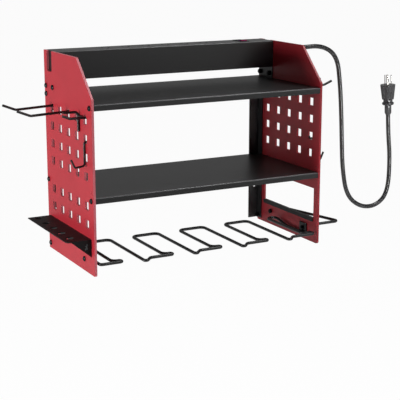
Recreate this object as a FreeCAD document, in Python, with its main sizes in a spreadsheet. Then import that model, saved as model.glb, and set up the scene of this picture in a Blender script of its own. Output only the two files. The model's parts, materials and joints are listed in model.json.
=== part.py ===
"""Wall organizer for power tools.

Two red side panels carry two shelves, a row of sockets along the top, a wire rack for
drills along the bottom, a screwdriver rack, a hammer rail and bent wire hooks.
The frame stands +Z up, +Y points into the wall, and the origin is the centre of the
four wall holes, on the wall plane.
"""
import FreeCAD, Part
import math
import os

Vector = FreeCAD.Vector

# Driving sizes, in millimetres
SIZES = {
    # side panels
    "outer_width": 450.0,
    "panel_sheet": 4.0,
    "panel_height": 363.2,
    "panel_depth": 215.5,
    "panel_top_depth": 152.0,
    "slope_drop": 62.6,
    "corner_radius": 4.0,
    "notch_centre": 25.5,
    "notch_width": 23.0,
    "notch_depth": 36.5,
    "notch_radius": 4.0,
    "slope_radius": 5.0,
    # square hook holes
    "hole_side": 14.7,
    "hole_pitch_across": 38.1,
    "hole_pitch_down": 31.75,
    "hole_front_inset": 30.3,
    "hole_first_gap": 28.7,
    "hole_low_gap": 18.6,
    "spare_hole_inset": 7.3,
    "spare_hole_rise": 7.7,
    "spare_hole_bore": 5.0,
    # window for hammer heads
    "window_rear": 25.0,
    "window_front_inset": 14.0,
    "window_head_gap": 32.8,
    "window_foot_rise": 44.2,
    "sill_wall": 2.0,
    "sill_lap": 5.0,
    # screws and nuts
    "screw_thread": 5.0,
    "screw_clearance": 0.5,
    "screw_head": 9.5,
    "screw_head_rise": 2.75,
    "screw_tail": 1.2,
    "screw_socket": 3.0,
    "thread_clearance": 0.02,
    "nut_flats": 8.0,
    "nut_height": 4.0,
    "rear_screw_inset": 7.5,
    "front_screw_inset": 9.3,
    # wall angles
    "angle_sheet": 2.0,
    "angle_wall_leg": 22.0,
    "angle_side_leg": 16.0,
    "angle_foot": 5.2,
    "angle_head_gap": 0.5,
    "foot_screw_rise": 10.2,
    "wall_hole_spread": 424.0,
    "wall_hole_pitch": 180.0,
    "wall_hole_drop": 113.0,
    "wall_hole_bore": 5.5,
    # shelves
    "shelf_sheet": 1.5,
    "shelf_lip": 10.5,
    "shelf_front_gap": 1.0,
    "shelf_rear_gap": 3.0,
    "shelf_screw_drop": 6.2,
    "top_shelf_drop": 71.2,
    "mid_shelf_drop": 227.2,
    "shelf_relief": 2.0,
    "shelf_corner_gap": 12.0,
    # socket strip
    "strip_depth": 50.0,
    "strip_height": 50.0,
    "strip_wall_gap": 1.0,
    "strip_sheet": 1.5,
    "ear_drop": 71.0,
    "ear_screw_drop": 63.0,
    "ear_screw_front": 40.0,
    "end_lip": 6.0,
    "outlet_pitch": 40.0,
    "outlet_last_inset": 105.5,
    "outlet_block_long": 34.0,
    "outlet_block_wide": 33.0,
    "outlet_block_tall": 17.0,
    "blade_spread": 12.7,
    "blade_slot_long": 8.0,
    "blade_slot_wide": 2.2,
    "ground_offset": 11.9,
    "ground_bore": 5.4,
    "slot_line_rear": 21.0,
    "bar_wide": 7.0,
    "bar_thick": 1.0,
    "bar_step": 8.0,
    "bar_end_gap": 3.0,
    # switch
    "switch_inset": 57.5,
    "bezel_long": 35.0,
    "bezel_wide": 17.0,
    "bezel_rise": 1.0,
    "bezel_lap": 1.0,
    "bezel_wall": 1.8,
    "rocker_gap": 0.4,
    "rocker_depth": 9.0,
    "rocker_keel": 7.0,
    "rocker_axis_drop": 3.0,
    "rocker_rise": 0.4,
    "rocker_tilt": 8.0,
    "rocker_pin": 2.4,
    "pin_clearance": 0.06,
    "pin_reach": 1.2,
    "pin_end_gap": 0.2,
    "tab_pitch": 8.0,
    "tab_wide": 6.3,
    "tab_long": 8.0,
    "switch_body_deep": 20.0,
    # cord and plug
    "gland_drop": 19.5,
    "gland_flange": 20.0,
    "gland_flange_thick": 8.5,
    "gland_round": 16.0,
    "gland_length": 35.5,
    "gland_stem": 12.0,
    "gland_nut_thick": 5.0,
    "gland_nut_flats": 17.0,
    "gland_wall": 0.9,
    "cord_last_run": 39.0,
    "cord_bore": 9.0,
    "plug_neck": 14.0,
    "plug_taper": 5.0,
    "plug_neck_length": 16.5,
    "plug_flange": 24.5,
    "plug_flange_thick": 5.5,
    "plug_waist": 19.0,
    "plug_waist_length": 6.0,
    "plug_body_low": 24.5,
    "plug_body_top": 31.5,
    "plug_body_length": 31.0,
    "blade_wide": 6.35,
    "blade_thick": 1.5,
    "blade_out": 19.0,
    "ground_pin": 4.8,
    "ground_pin_out": 22.0,
    # drill rack
    "rack_wire": 5.5,
    "rack_rise": 21.2,
    "rack_screw_rear": 170.0,
    "rack_plate_long": 23.0,
    "rack_plate_tall": 20.0,
    "rack_plate_sheet": 2.5,
    "rack_left_gap": 30.5,
    "rack_right_gap": 25.9,
    "rack_front": 217.0,
    "rack_tip_front": 229.0,
    "rack_rear": 78.0,
    "rack_slot": 51.5,
    "rack_hairpin": 15.5,
    "rack_hairpin_radius": 4.5,
    "rack_end_hairpin": 18.5,
    "rack_end_radius": 5.5,
    "rack_tip_bend": 3.6,
    "rack_tip_run": 16.0,
    "rack_bend": 10.0,
    "rack_end_lap": 6.5,
    "rack_end_reach": 10.0,
    "rack_end_fall": 40.0,
    "rack_nut_gap": 0.7,
    # screwdriver rack
    "driver_sheet": 1.6,
    "driver_width": 44.5,
    "driver_front": 202.5,
    "driver_rear": 11.5,
    "driver_rise": 63.0,
    "driver_gusset": 30.0,
    "driver_back_flange": 24.5,
    "driver_bore": 13.0,
    "driver_pitch": 38.1,
    "driver_first": 177.4,
    "driver_reach": 29.0,
    "driver_slot_wide": 3.2,
    "driver_slot_long": 6.0,
    "driver_slot_reach": 9.3,
    "driver_slot_end": 5.4,
    "driver_slot_drop": 9.5,
    "driver_gusset_inset": 8.5,
    "driver_corner_radius": 8.0,
    "driver_screw_inset": 25.0,
    # hooks
    "hook_wire": 4.5,
    "hook_clearance": 0.8,
    "hook_tight_bend": 3.2,
    "left_hook_lift": -3.15,
    "right_hook_lift": 12.85,
    "left_hook_reach": 90.5,
    "right_hook_reach": 92.9,
    "left_hook_tip": 25.5,
    "right_hook_tip": 17.0,
    "short_hook_reach": 39.0,
    "short_hook_tip": 14.0,
    "drop_hook_reach": 26.0,
    "drop_hook_fall": 45.0,
    "drop_hook_rise": 12.0,
    "hook_tip_slope": 22.0,
    "hook_bend": 7.0,
    "hook_knee": 14.0,
    "hook_tail": 12.0,
    "drop_wire": 3.6,
    "drop_hook_knee": 0.75,
    "drop_hook_tail": 5.0,
    "brace_offset": 23.0,
    "brace_reach": 29.5,
    "brace_fall": 26.35,
    "brace_rise": 6.65,
    # hammer rail
    "rail_wire": 5.5,
    "rail_rise": 31.7,
    "rail_front": 194.0,
    "rail_rear": 52.0,
    "rail_reach": 58.5,
    "rail_rear_reach": 20.0,
    "rail_plate_long": 26.0,
    "rail_plate_tall": 18.0,
    "rail_plate_sheet": 2.5,
    "rail_plate_foot": 8.0,
    "rail_screw_drop": 4.5,
    "rail_corner": 7.0,
}

# Outlets along the strip
OUTLETS = 6
# Square holes: columns across the panel, rows between the shelves and under the lower one
HOLE_COLUMNS = 5
HOLE_ROWS = 4
LOW_ROWS = 2
# Slots for drills, and bores for screwdrivers
DRILL_SLOTS = 4
DRIVER_BORES = 5

# Control points of the power cord, (X, Z) in millimetres, counted from the panels' top edge.
# The route starts at the mouth of the strain relief and ends at the neck of the plug.
CORD_TURNS = [
    (300.0, -19.5),
    (351.2, -17.4),
    (387.7, -40.6),
    (396.7, -96.6),
    (402.0, -158.9),
    (405.2, -217.9),
    (408.7, -272.8),
    (421.0, -331.9),
    (456.9, -360.9),
    (498.2, -362.9),
    (527.7, -337.3),
    (529.9, -262.8),
]
PLUG_NECK = (520.6, -170.0)
PLUG_LEAN = -3.2
PLUG_TURN = -42.0

doc = FreeCAD.newDocument("PowerToolOrganizer")
sheet = doc.addObject("Spreadsheet::Sheet", "Sizes")
for row, (alias, number) in enumerate(SIZES.items(), start=1):
    sheet.set(f"A{row}", alias)
    sheet.set(f"B{row}", str(number))
    sheet.setAlias(f"B{row}", alias)
doc.recompute()


class Size:
    """A length together with the sheet expression that gives it."""

    def __init__(self, number, text):
        self.number = float(number)
        self.text = text

    def _with(self, sign, other, number):
        other = as_size(other)
        return Size(number(self.number, other.number), f"({self.text} {sign} {other.text})")

    def __add__(self, other):
        return self._with("+", other, lambda a, b: a + b)

    def __sub__(self, other):
        return self._with("-", other, lambda a, b: a - b)

    def __mul__(self, other):
        return self._with("*", other, lambda a, b: a * b)

    def __truediv__(self, other):
        return self._with("/", other, lambda a, b: a / b)

    def __neg__(self):
        return Size(-self.number, f"(-1 * {self.text})")

    def __radd__(self, other):
        return as_size(other) + self

    def __rsub__(self, other):
        return as_size(other) - self

    def __rmul__(self, other):
        return as_size(other) * self

    def __float__(self):
        return self.number


def as_size(value):
    """Give a plain number the form of a Size."""
    return value if isinstance(value, Size) else Size(value, f"({value})")


class Sheet:
    """Every driving size as an attribute."""

    def __init__(self, names):
        for name in names:
            setattr(self, name, Size(sheet.get(name), f"Sizes.{name}"))


s = Sheet(SIZES)

# Places worked out from the driving sizes
TOP = s.wall_hole_drop + s.wall_hole_pitch / 2
INNER = s.outer_width / 2 - s.panel_sheet
OUTER = s.outer_width / 2
BOTTOM = TOP - s.panel_height
FRONT = -s.panel_depth
SCREW_BORE = s.screw_thread + s.screw_clearance
TOP_SHELF = TOP - s.top_shelf_drop
MID_SHELF = TOP - s.mid_shelf_drop
FRONT_SCREW = FRONT + s.front_screw_inset
REAR_SCREW = -s.rear_screw_inset
EAR_SCREW = TOP - s.ear_screw_drop
FOOT_SCREW = BOTTOM + s.foot_screw_rise
RACK = BOTTOM + s.rack_rise
STRIP_FRONT = -s.strip_wall_gap - s.strip_depth
STRIP_REAR = -s.strip_wall_gap
HOLE_FRONT = FRONT + s.hole_front_inset
HOLE_TOP = TOP_SHELF - s.hole_first_gap
HOLE_LOW = MID_SHELF - s.hole_low_gap
RACK_PITCH = (INNER * 2 - s.rack_left_gap - s.rack_right_gap) / DRILL_SLOTS
WINDOW_LOW = BOTTOM + s.window_foot_rise
GLAND = TOP - s.gland_drop
SWITCH_X = INNER - s.switch_inset
SWITCH_Y = STRIP_REAR - s.strip_depth / 2
SWITCH_WIDE = s.bezel_wide - s.bezel_lap * 2
SWITCH_LONG = s.bezel_long - s.bezel_lap * 2
ROCKER_WIDE = SWITCH_WIDE - s.bezel_wall * 2
ROCKER_LONG = SWITCH_LONG - s.bezel_wall * 2 - s.rocker_gap * 3
ROCKER_AXIS = TOP - s.rocker_axis_drop
DRIVER_TOP = BOTTOM + s.driver_rise
DRIVER_SCREW = DRIVER_TOP - s.driver_back_flange / 2 - s.driver_sheet / 2
DRIVER_SCREWS = [-s.driver_front + s.driver_screw_inset, -s.driver_rear - s.driver_screw_inset]
RAIL = BOTTOM + s.rail_rise
RAIL_SCREW = RAIL - s.rail_screw_drop
X_AXIS = Vector(1, 0, 0)
Y_AXIS = Vector(0, 1, 0)
Z_AXIS = Vector(0, 0, 1)

parts = {}


def bind(item, **sizes):
    """Set properties of a document object, each bound to its expression."""
    for name, value in sizes.items():
        item.setExpression(name, as_size(value).text)


def place(item, at, axis=Z_AXIS, angle=0.0):
    """Put an object at three bound coordinates, turned about one axis."""
    item.Placement = FreeCAD.Placement(Vector(0, 0, 0), FreeCAD.Rotation(axis, angle))
    for letter, value in zip("xyz", at):
        item.setExpression(f"Placement.Base.{letter}", as_size(value).text)
    return item


def box(name, low, high):
    """Make a box between two bound corners."""
    item = doc.addObject("Part::Box", name)
    spans = [as_size(b) - as_size(a) for a, b in zip(low, high)]
    bind(item, Length=spans[0], Width=spans[1], Height=spans[2])
    return place(item, low)


def rod_x(name, radius, low, high, y, z):
    """Make a cylinder along X from low to high."""
    item = doc.addObject("Part::Cylinder", name)
    bind(item, Radius=radius, Height=as_size(high) - as_size(low))
    return place(item, (low, y, z), Y_AXIS, 90)


def rod_y(name, radius, low, high, x, z):
    """Make a cylinder along Y from low to high."""
    item = doc.addObject("Part::Cylinder", name)
    bind(item, Radius=radius, Height=as_size(high) - as_size(low))
    return place(item, (x, low, z), X_AXIS, -90)


def rod_z(name, radius, low, high, x, y):
    """Make a cylinder along Z from low to high."""
    item = doc.addObject("Part::Cylinder", name)
    bind(item, Radius=radius, Height=as_size(high) - as_size(low))
    return place(item, (x, y, low))


def fuse(name, items):
    """Join pieces into one object without seams."""
    item = doc.addObject("Part::MultiFuse", name)
    item.Shapes = items
    item.Refine = True
    return item


def cut(name, base, tools):
    """Take pieces away from a base."""
    item = doc.addObject("Part::Cut", name)
    item.Base = base
    item.Tool = tools[0] if len(tools) == 1 else fuse(f"{name}_tools", tools)
    item.Refine = True
    return item


def group(name, items):
    """Hold separate solids as one object."""
    item = doc.addObject("Part::Compound", name)
    item.Links = items
    return item


def keep(node, item):
    """Name a finished sub-part."""
    item.Label = node
    parts[node] = item
    return item


def solid(name, shape):
    """Hold a shape made from curves as an object."""
    item = doc.addObject("Part::Feature", name)
    item.Shape = shape
    item.Placement = FreeCAD.Placement()
    return item


def origin_plane(body, role):
    """Find one of a body's own origin planes."""
    return [item for item in body.Origin.OriginFeatures if item.Role == role][0]


def new_sketch(body, name, role="YZ_Plane"):
    """Start a sketch on one of a body's own origin planes."""
    sketch = body.newObject("Sketcher::SketchObject", name)
    sketch.AttachmentSupport = [(origin_plane(body, role), "")]
    sketch.MapMode = "FlatFace"
    return sketch


def pin_point(sketch, line, end, across, up):
    """Tie one end of a line to bound distances from the sketch's origin."""
    import Sketcher
    for kind, value in (("DistanceX", across), ("DistanceY", up)):
        value = as_size(value)
        index = sketch.addConstraint(Sketcher.Constraint(kind, -1, 1, line, end, value.number))
        sketch.setExpression(f"Constraints[{index}]", value.text)


def draw_polygon(sketch, corners):
    """Draw a closed outline through bound corners."""
    import Sketcher
    points = [Vector(float(a), float(b), 0) for a, b in corners]
    first = sketch.GeometryCount
    count = len(points)
    for i in range(count):
        sketch.addGeometry(Part.LineSegment(points[i], points[(i + 1) % count]), False)
    for i in range(count):
        sketch.addConstraint(Sketcher.Constraint("Coincident", first + i, 2, first + (i + 1) % count, 1))
        pin_point(sketch, first + i, 1, *corners[i])


def draw_square(sketch, across, up, side):
    """Draw a square about a bound centre."""
    half = as_size(side) / 2
    corners = [(across - half, up - half), (across + half, up - half), (across + half, up + half),
               (across - half, up + half)]
    draw_polygon(sketch, corners)


def draw_circle(sketch, across, up, bore):
    """Draw a circle of a bound diameter about a bound centre."""
    import Sketcher
    bore = as_size(bore)
    centre = Vector(float(across), float(up), 0)
    index = sketch.addGeometry(Part.Circle(centre, Z_AXIS, bore.number / 2), False)
    size = sketch.addConstraint(Sketcher.Constraint("Diameter", index, bore.number))
    sketch.setExpression(f"Constraints[{size}]", bore.text)
    pin_point(sketch, index, 3, across, up)


def pad(body, name, sketch, length, reverse=False):
    """Pad a sketch by a bound length."""
    item = body.newObject("PartDesign::Pad", name)
    item.Profile = sketch
    bind(item, Length=length)
    item.Reversed = reverse
    return item


def pocket(body, name, sketch, depth, reverse=False):
    """Cut a sketch through by a bound depth."""
    item = body.newObject("PartDesign::Pocket", name)
    item.Profile = sketch
    bind(item, Length=depth)
    item.Reversed = reverse
    return item


def rounded(points, radius):
    """Join straight runs by arcs of one radius, or of a radius for each turn."""
    points = [Vector(*point) for point in points]
    radii = radius if isinstance(radius, list) else [radius] * (len(points) - 2)
    edges = []
    start = points[0]
    for before, corner, after, bend in zip(points, points[1:], points[2:], radii):
        into = (corner - before).normalize()
        out = (after - corner).normalize()
        turn = into.getAngle(out)
        reach = bend * math.tan(turn / 2)
        first = corner - into * reach
        last = corner + out * reach
        inside = (out - into).normalize()
        middle = corner + inside * (bend / math.cos(turn / 2) - bend)
        if (first - start).Length > 1e-6:
            edges.append(Part.LineSegment(start, first).toShape())
        edges.append(Part.Arc(first, middle, last).toShape())
        start = last
    edges.append(Part.LineSegment(start, points[-1]).toShape())
    return Part.Wire(edges)


def swept(path, bore):
    """Sweep a round section of one diameter along a path."""
    edge = path.Edges[0]
    start = edge.valueAt(edge.FirstParameter)
    along = edge.tangentAt(edge.FirstParameter)
    circle = Part.Wire([Part.Circle(start, along, bore / 2).toShape()])
    shape = path.makePipeShell([circle], True, True)
    ideal = math.pi * bore ** 2 / 4 * path.Length
    if abs(shape.Volume / ideal - 1) > 0.01:
        raise RuntimeError(f"a swept rod has volume {shape.Volume:.0f}, not {ideal:.0f}")
    return shape


def bent_wire(name, points, bore, radius):
    """Make a bent round wire."""
    return solid(name, swept(rounded(points, radius), bore))


def ball_end(name, point, bore):
    """Make the rounded end of a wire."""
    return solid(name, Part.makeSphere(bore / 2, Vector(*point)))


# Screws through each side panel, front to back and top to bottom, as (Y, Z)
SCREW_PLACES = [
    (-s.ear_screw_front, EAR_SCREW),
    (REAR_SCREW, EAR_SCREW),
    (REAR_SCREW, TOP_SHELF - s.shelf_screw_drop),
    (FRONT_SCREW, TOP_SHELF - s.shelf_screw_drop),
    (REAR_SCREW, MID_SHELF - s.shelf_screw_drop),
    (FRONT_SCREW, MID_SHELF - s.shelf_screw_drop),
    (-s.rack_screw_rear, RACK),
    (REAR_SCREW, FOOT_SCREW),
]


# What each of those screws clamps behind the panel
SCREW_STACKS = [
    s.strip_sheet,
    s.strip_sheet,
    s.angle_sheet + s.shelf_sheet,
    s.shelf_sheet,
    s.angle_sheet + s.shelf_sheet,
    s.shelf_sheet,
    s.rack_plate_sheet,
    s.angle_sheet,
]
RACK_SCREW = 6


def round_edges(body, name, base, radius, places):
    """Round the edges across the sheet that lie at bound (Y, Z) places."""
    doc.recompute()
    chosen = []
    for i, edge in enumerate(base.Shape.Edges, start=1):
        ends = [vertex.Point for vertex in edge.Vertexes]
        for across, up in places:
            if all(abs(p.y - float(across)) < 1e-4 and abs(p.z - float(up)) < 1e-4 for p in ends):
                chosen.append(f"Edge{i}")
    item = body.newObject("PartDesign::Fillet", name)
    item.Base = (base, chosen)
    bind(item, Radius=radius)
    return item


def side_panel(node, side):
    """Make one side panel: its outline and notch, screw holes, hook holes and window."""
    body = doc.addObject("PartDesign::Body", f"{node}_body")
    notch_low = TOP - s.notch_depth
    notch_front = -s.notch_centre - s.notch_width / 2
    notch_rear = -s.notch_centre + s.notch_width / 2
    outline = [
        (0, BOTTOM), (0, TOP),
        (notch_rear, TOP), (notch_rear, notch_low), (notch_front, notch_low), (notch_front, TOP),
        (-s.panel_top_depth, TOP), (FRONT, TOP - s.slope_drop), (FRONT, BOTTOM),
    ]
    sketch = new_sketch(body, f"{node}_outline")
    draw_polygon(sketch, outline)
    plate = pad(body, f"{node}_plate", sketch, s.panel_sheet)
    plate = round_edges(body, f"{node}_corner", plate, s.corner_radius, [(FRONT, BOTTOM)])
    plate = round_edges(body, f"{node}_notch_corners", plate, s.notch_radius,
                        [(notch_rear, notch_low), (notch_front, notch_low)])
    plate = round_edges(body, f"{node}_slope_corners", plate, s.slope_radius,
                        [(-s.panel_top_depth, TOP), (FRONT, TOP - s.slope_drop)])

    screws = new_sketch(body, f"{node}_screw_places")
    for across, up in SCREW_PLACES:
        draw_circle(screws, across, up, SCREW_BORE)
    draw_circle(screws, FRONT + s.spare_hole_inset, MID_SHELF + s.spare_hole_rise, s.spare_hole_bore)
    if side > 0:
        low = WINDOW_LOW
        high = MID_SHELF - s.window_head_gap
        front = FRONT + s.window_front_inset
        draw_polygon(screws, [(front, low), (-s.window_rear, low), (-s.window_rear, high), (front, high)])
        draw_circle(screws, -s.rail_rear, RAIL_SCREW, SCREW_BORE)
    else:
        for across in DRIVER_SCREWS:
            draw_circle(screws, across, DRIVER_SCREW, SCREW_BORE)
    pocket(body, f"{node}_screw_holes", screws, s.panel_sheet, reverse=True)

    grid = new_sketch(body, f"{node}_hole_column")
    for i in range(HOLE_ROWS):
        draw_square(grid, HOLE_FRONT, HOLE_TOP - s.hole_pitch_down * i, s.hole_side)
    if side < 0:
        for i in range(LOW_ROWS):
            draw_square(grid, HOLE_FRONT, HOLE_LOW - s.hole_pitch_down * i, s.hole_side)
    column = pocket(body, f"{node}_column", grid, s.panel_sheet, reverse=True)
    columns = body.newObject("PartDesign::LinearPattern", f"{node}_columns")
    columns.Originals = [column]
    columns.Direction = (grid, ["H_Axis"])
    columns.Occurrences = HOLE_COLUMNS
    bind(columns, Length=s.hole_pitch_across * (HOLE_COLUMNS - 1))
    body.Tip = columns
    place(body, (INNER if side > 0 else -OUTER, 0, 0))
    doc.recompute()
    if not body.Shape.Volume < 0.95 * plate.Shape.Volume:
        raise RuntimeError(f"{node}: the holes cut nothing")
    return keep(node, body)


def side_box(name, side, low, high):
    """Make a box on one side, given by its corners as they lie on the right side."""
    if side > 0:
        return box(name, low, high)
    return box(name, (-as_size(high[0]), low[1], low[2]), (-as_size(low[0]), high[1], high[2]))


def side_rod(name, side, radius, low, high, y, z):
    """Make a cylinder along X on one side, given as it lies on the right side."""
    if side > 0:
        return rod_x(name, radius, low, high, y, z)
    return rod_x(name, radius, -as_size(high), -as_size(low), y, z)


def hexagon(name, side, flats, low, high, y, z):
    """Make a hexagonal prism along X on one side, of a bound width over its flats."""
    item = doc.addObject("Part::Prism", name)
    item.Polygon = 6
    low, high = as_size(low), as_size(high)
    if side < 0:
        low, high = -high, -low
    item.setExpression("Circumradius", f"{as_size(flats / 2).text} / cos(30)")
    item.setExpression("Height", (high - low).text)
    return place(item, (low, y, z), Y_AXIS, 90)


def button_screw(name, side, across, up, stack, lift=0.0):
    """Make one button screw through the panel and a stack of sheets behind it."""
    seat = OUTER + lift
    head_low = side_rod(f"{name}_head", side, s.screw_head / 2, seat, seat + s.screw_head_rise * 0.45, across, up)
    head_top = doc.addObject("Part::Cone", f"{name}_crown")
    bind(head_top, Radius1=s.screw_head / 2, Radius2=s.screw_head * 0.31, Height=s.screw_head_rise * 0.55)
    crown = seat + s.screw_head_rise * 0.45
    place(head_top, (crown if side > 0 else -crown, across, up), Y_AXIS, 90 * side)
    shank = side_rod(f"{name}_shank", side, s.screw_thread / 2,
                     INNER - stack - s.nut_height - s.screw_tail, seat + s.screw_head_rise * 0.3, across, up)
    socket = hexagon(f"{name}_socket", side, s.screw_socket, seat + s.screw_head_rise * 0.4,
                     seat + s.screw_head_rise * 2, across, up)
    return cut(name, fuse(f"{name}_blank", [head_low, head_top, shank]), [socket])


def hex_nut(name, side, across, up, stack):
    """Make one nut against the innermost sheet."""
    face = INNER - stack
    blank = hexagon(f"{name}_blank", side, s.nut_flats, face - s.nut_height, face, across, up)
    bore = side_rod(f"{name}_bore", side, s.screw_thread / 2 + s.thread_clearance,
                    face - s.nut_height - 1, face + 1, across, up)
    return cut(name, blank, [bore])


def frame_fasteners():
    """Make the screws and nuts that hold the shelves, angles, strip and rack to the panels."""
    screws = []
    nuts = []
    for side in (-1, 1):
        hand = "right" if side > 0 else "left"
        for i, (across, up) in enumerate(SCREW_PLACES):
            stack = SCREW_STACKS[i]
            lift = s.rail_plate_sheet if side > 0 and i == RACK_SCREW else 0.0
            screws.append(button_screw(f"screw_{hand}_{i}", side, across, up, stack, lift))
            nuts.append(hex_nut(f"nut_{hand}_{i}", side, across, up, stack))
    keep("frame_screws", group("frame_screw_set", screws))
    keep("frame_nuts", group("frame_nut_set", nuts))


def wall_angle(node, side):
    """Make one steel angle that carries the panel on the wall."""
    low = BOTTOM + s.angle_foot
    high = TOP - s.ear_drop - s.angle_head_gap
    wall_leg = side_box(f"{node}_wall_leg", side, (INNER - s.angle_wall_leg, -s.angle_sheet, low), (INNER, 0, high))
    side_leg = side_box(f"{node}_side_leg", side, (INNER - s.angle_sheet, -s.angle_side_leg, low), (INNER, 0, high))
    bores = []
    for i, up in enumerate((s.wall_hole_pitch / 2, -s.wall_hole_pitch / 2)):
        bores.append(rod_y(f"{node}_wall_bore_{i}", s.wall_hole_bore / 2, -s.angle_sheet - 1, 1,
                           s.wall_hole_spread / 2 * side, up))
    for i, up in enumerate((TOP_SHELF - s.shelf_screw_drop, MID_SHELF - s.shelf_screw_drop, FOOT_SCREW)):
        bores.append(side_rod(f"{node}_side_bore_{i}", side, SCREW_BORE / 2,
                              INNER - s.angle_sheet - 1, INNER + 1, REAR_SCREW, up))
    keep(node, cut(f"{node}_angle", fuse(f"{node}_blank", [wall_leg, side_leg]), bores))


def shelf(node, floor):
    """Make one folded shelf: a floor with a lip all round, stepped in beside the wall angles."""
    front = FRONT + s.shelf_front_gap
    rear = -s.shelf_rear_gap
    step = -s.angle_side_leg - s.shelf_relief
    narrow = INNER - s.angle_sheet
    low = floor - s.shelf_lip
    sheet_low = floor - s.shelf_sheet
    pieces = [
        box(f"{node}_floor", (-INNER, front, sheet_low), (INNER, step, floor)),
        box(f"{node}_floor_rear", (-narrow, step, sheet_low), (narrow, rear, floor)),
        box(f"{node}_front_lip", (-INNER, front, low), (INNER, front + s.shelf_sheet, floor)),
        box(f"{node}_rear_lip", (s.shelf_corner_gap - narrow, rear - s.shelf_sheet, low),
            (narrow - s.shelf_corner_gap, rear, floor)),
    ]
    bores = []
    for side in (-1, 1):
        hand = "right" if side > 0 else "left"
        pieces.append(side_box(f"{node}_side_{hand}", side, (INNER - s.shelf_sheet, front, low),
                               (INNER, step - s.shelf_relief, floor)))
        pieces.append(side_box(f"{node}_tab_{hand}", side, (narrow - s.shelf_sheet, step + s.shelf_relief / 2, low),
                               (narrow, rear, floor)))
        up = floor - s.shelf_screw_drop
        bores.append(side_rod(f"{node}_front_bore_{hand}", side, SCREW_BORE / 2,
                              INNER - s.shelf_sheet - 1, INNER + 1, FRONT_SCREW, up))
        bores.append(side_rod(f"{node}_rear_bore_{hand}", side, SCREW_BORE / 2,
                              narrow - s.shelf_sheet - 1, narrow + 1, REAR_SCREW, up))
    keep(node, cut(f"{node}_shelf", fuse(f"{node}_blank", pieces), bores))


def outlet_centres():
    """Give the X of each outlet, counted from the far end of the strip."""
    return [-INNER + s.outlet_last_inset + s.outlet_pitch * i for i in range(OUTLETS)]


def outlet_cutters(name, x, low, high):
    """Make the two blade slots and the ground bore of one outlet."""
    line = STRIP_REAR - s.slot_line_rear
    cutters = []
    for i, offset in enumerate((-s.blade_spread / 2, s.blade_spread / 2)):
        cutters.append(box(f"{name}_slot_{i}",
                           (x + offset - s.blade_slot_wide / 2, line - s.blade_slot_long / 2, low),
                           (x + offset + s.blade_slot_wide / 2, line + s.blade_slot_long / 2, high)))
    cutters.append(rod_z(f"{name}_ground", s.ground_bore / 2, low, high, x, line - s.ground_offset))
    return cutters


def strip():
    """Make the socket strip: housing, base, end plates, outlet blocks and contact bars."""
    wall = s.strip_sheet
    left = -INNER + wall
    right = INNER - wall
    low = TOP - s.strip_height
    shell = box("strip_shell", (left, STRIP_FRONT, low), (right, STRIP_REAR, TOP))
    hollow = box("strip_hollow", (left - 1, STRIP_FRONT + wall, low - 1), (right + 1, STRIP_REAR - wall, TOP - wall))
    cutters = [hollow]
    for i, x in enumerate(outlet_centres()):
        cutters += outlet_cutters(f"strip_outlet_{i}", x, TOP - wall * 2, TOP + 1)
    cutters.append(box("strip_switch_hole", (SWITCH_X - SWITCH_WIDE / 2, SWITCH_Y - SWITCH_LONG / 2, TOP - wall * 2),
                       (SWITCH_X + SWITCH_WIDE / 2, SWITCH_Y + SWITCH_LONG / 2, TOP + 1)))
    keep("strip_housing", cut("strip_body", shell, cutters))

    keep("strip_base", box("strip_base_plate", (left + s.end_lip, STRIP_FRONT + wall, low),
                           (right - s.end_lip, STRIP_REAR - wall, low + wall)))

    for side in (-1, 1):
        node = "strip_end_right" if side > 0 else "strip_end_left"
        plate = side_box(f"{node}_plate", side, (INNER - wall, STRIP_FRONT, TOP - s.ear_drop),
                         (INNER, STRIP_REAR, TOP))
        lip = side_box(f"{node}_lip", side, (INNER - wall - s.end_lip, STRIP_FRONT + wall, low),
                       (INNER - wall, STRIP_REAR - wall, TOP - wall))
        lip_hollow = side_box(f"{node}_lip_hollow", side,
                              (INNER - wall - s.end_lip - 1, STRIP_FRONT + wall * 2, low + wall),
                              (INNER - wall, STRIP_REAR - wall * 2, TOP - wall * 2))
        bores = [lip_hollow]
        for i, across in enumerate((-s.ear_screw_front, REAR_SCREW)):
            bores.append(side_rod(f"{node}_ear_bore_{i}", side, SCREW_BORE / 2, INNER - wall - 1, INNER + 1,
                                  across, EAR_SCREW))
        if side > 0:
            bores.append(rod_x(f"{node}_gland_bore", s.gland_stem / 2 + s.screw_clearance / 2,
                               INNER - wall - 1, INNER + 1, -s.notch_centre, GLAND))
        keep(node, cut(f"{node}_part", fuse(f"{node}_blank", [plate, lip]), bores))

    block_top = TOP - wall
    block_low = block_top - s.outlet_block_tall
    line = STRIP_REAR - s.slot_line_rear
    middle = line - s.ground_offset / 2
    for i, x in enumerate(outlet_centres()):
        name = f"outlet_block_{i + 1}"
        blank = box(f"{name}_blank", (x - s.outlet_block_long / 2, middle - s.outlet_block_wide / 2, block_low),
                    (x + s.outlet_block_long / 2, middle + s.outlet_block_wide / 2, block_top))
        keep(name, cut(f"{name}_part", blank, outlet_cutters(name, x, block_low - 1, block_top + 1)))

    centres = outlet_centres()
    start = centres[0] - s.outlet_block_long / 2
    end = SWITCH_X - SWITCH_WIDE / 2 - s.bar_end_gap
    bars = {"contact_bar_rear": line + s.bar_step / 2, "contact_bar_front": line - s.bar_step / 2,
            "contact_bar_ground": line - s.ground_offset - s.bar_wide / 2}
    for node, y in bars.items():
        keep(node, box(f"{node}_bar", (start, y - s.bar_wide / 2, block_low - s.bar_thick),
                       (end, y + s.bar_wide / 2, block_low)))


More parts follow.
